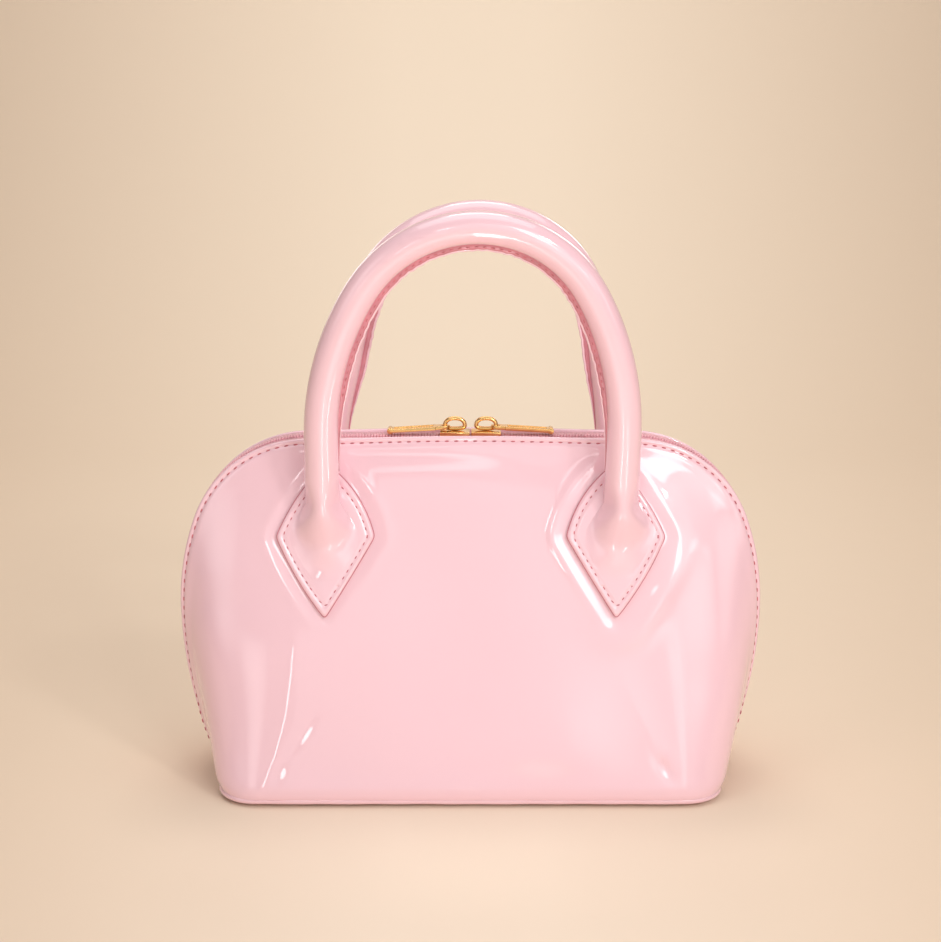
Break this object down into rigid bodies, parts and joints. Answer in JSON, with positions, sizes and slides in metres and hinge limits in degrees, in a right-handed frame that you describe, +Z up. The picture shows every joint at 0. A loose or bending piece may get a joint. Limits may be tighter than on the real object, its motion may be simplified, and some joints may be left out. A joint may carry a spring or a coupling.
{
  "type": "top handle bag",
  "caption": "Dome-shaped patent leather top handle bag with a zip over the crown, sliders with flat pulls, and rolled handles on diamond tabs.",
  "frame": {"origin": "on the floor under the middle of the base", "axes": "+X along the bag to the right, -Y to the front, +Z up"},
  "size_m": [0.2176, 0.089, 0.2145],
  "materials": {
    "patent_leather": "gloss",
    "board": "matte",
    "reinforcement": "matte",
    "lining_cloth": "matte",
    "zip_tape": "matte",
    "zip_chain": "satin",
    "gold_metal": "polished",
    "handle_cord": "matte"
  },
  "bodies": {
    "shell": {"front_panel": "patent_leather", "back_panel": "patent_leather", "base_panel": "patent_leather", "base_piping": "patent_leather", "left_gusset": "patent_leather", "right_gusset": "patent_leather", "front_left_tab": "patent_leather", "front_right_tab": "patent_leather", "back_left_tab": "patent_leather", "back_right_tab": "patent_leather", "base_board": "board", "front_stiffener": "board", "back_stiffener": "board", "front_left_tab_backing": "reinforcement", "front_right_tab_backing": "reinforcement", "back_left_tab_backing": "reinforcement", "back_right_tab_backing": "reinforcement", "front_lining": "lining_cloth", "back_lining": "lining_cloth", "base_lining": "lining_cloth", "front_zip_tape": "zip_tape", "back_zip_tape": "zip_tape", "front_zip_chain": "zip_chain", "back_zip_chain": "zip_chain"},
    "left_slider": {"left_slider_body": "gold_metal", "left_slider_bail": "gold_metal"},
    "right_slider": {"right_slider_body": "gold_metal", "right_slider_bail": "gold_metal"},
    "left_pull": {"left_pull": "gold_metal"},
    "right_pull": {"right_pull": "gold_metal"},
    "front_handle": {"front_handle_wrap": "patent_leather", "front_handle_core": "handle_cord"},
    "back_handle": {"back_handle_wrap": "patent_leather", "back_handle_core": "handle_cord"}
  },
  "joints": [
    {"name": "left_slider_travel", "type": "slide", "parent": "shell", "child": "left_slider", "axis": [-1, 0, 0], "range_m": [0, 0.045]},
    {"name": "right_slider_travel", "type": "slide", "parent": "shell", "child": "right_slider", "axis": [1, 0, 0], "range_m": [0, 0.045]},
    {"name": "left_pull_swing", "type": "hinge", "parent": "left_slider", "child": "left_pull", "pos_m": [-0.0058, 0, 0.13345], "axis": [0, 1, 0], "range_deg": [0, 100]},
    {"name": "right_pull_swing", "type": "hinge", "parent": "right_slider", "child": "right_pull", "pos_m": [0.0058, 0, 0.13345], "axis": [0, -1, 0], "range_deg": [0, 100]},
    {"name": "front_handle_flex", "type": "hinge", "parent": "shell", "child": "front_handle", "pos_m": [0, -0.02247, 0.1096], "axis": [1, 0, 0], "range_deg": [-15, 30], "stiffness_Nm_per_rad": 0.3},
    {"name": "back_handle_flex", "type": "hinge", "parent": "shell", "child": "back_handle", "pos_m": [0, 0.02247, 0.1096], "axis": [-1, 0, 0], "range_deg": [-15, 30], "stiffness_Nm_per_rad": 0.3}
  ]
}
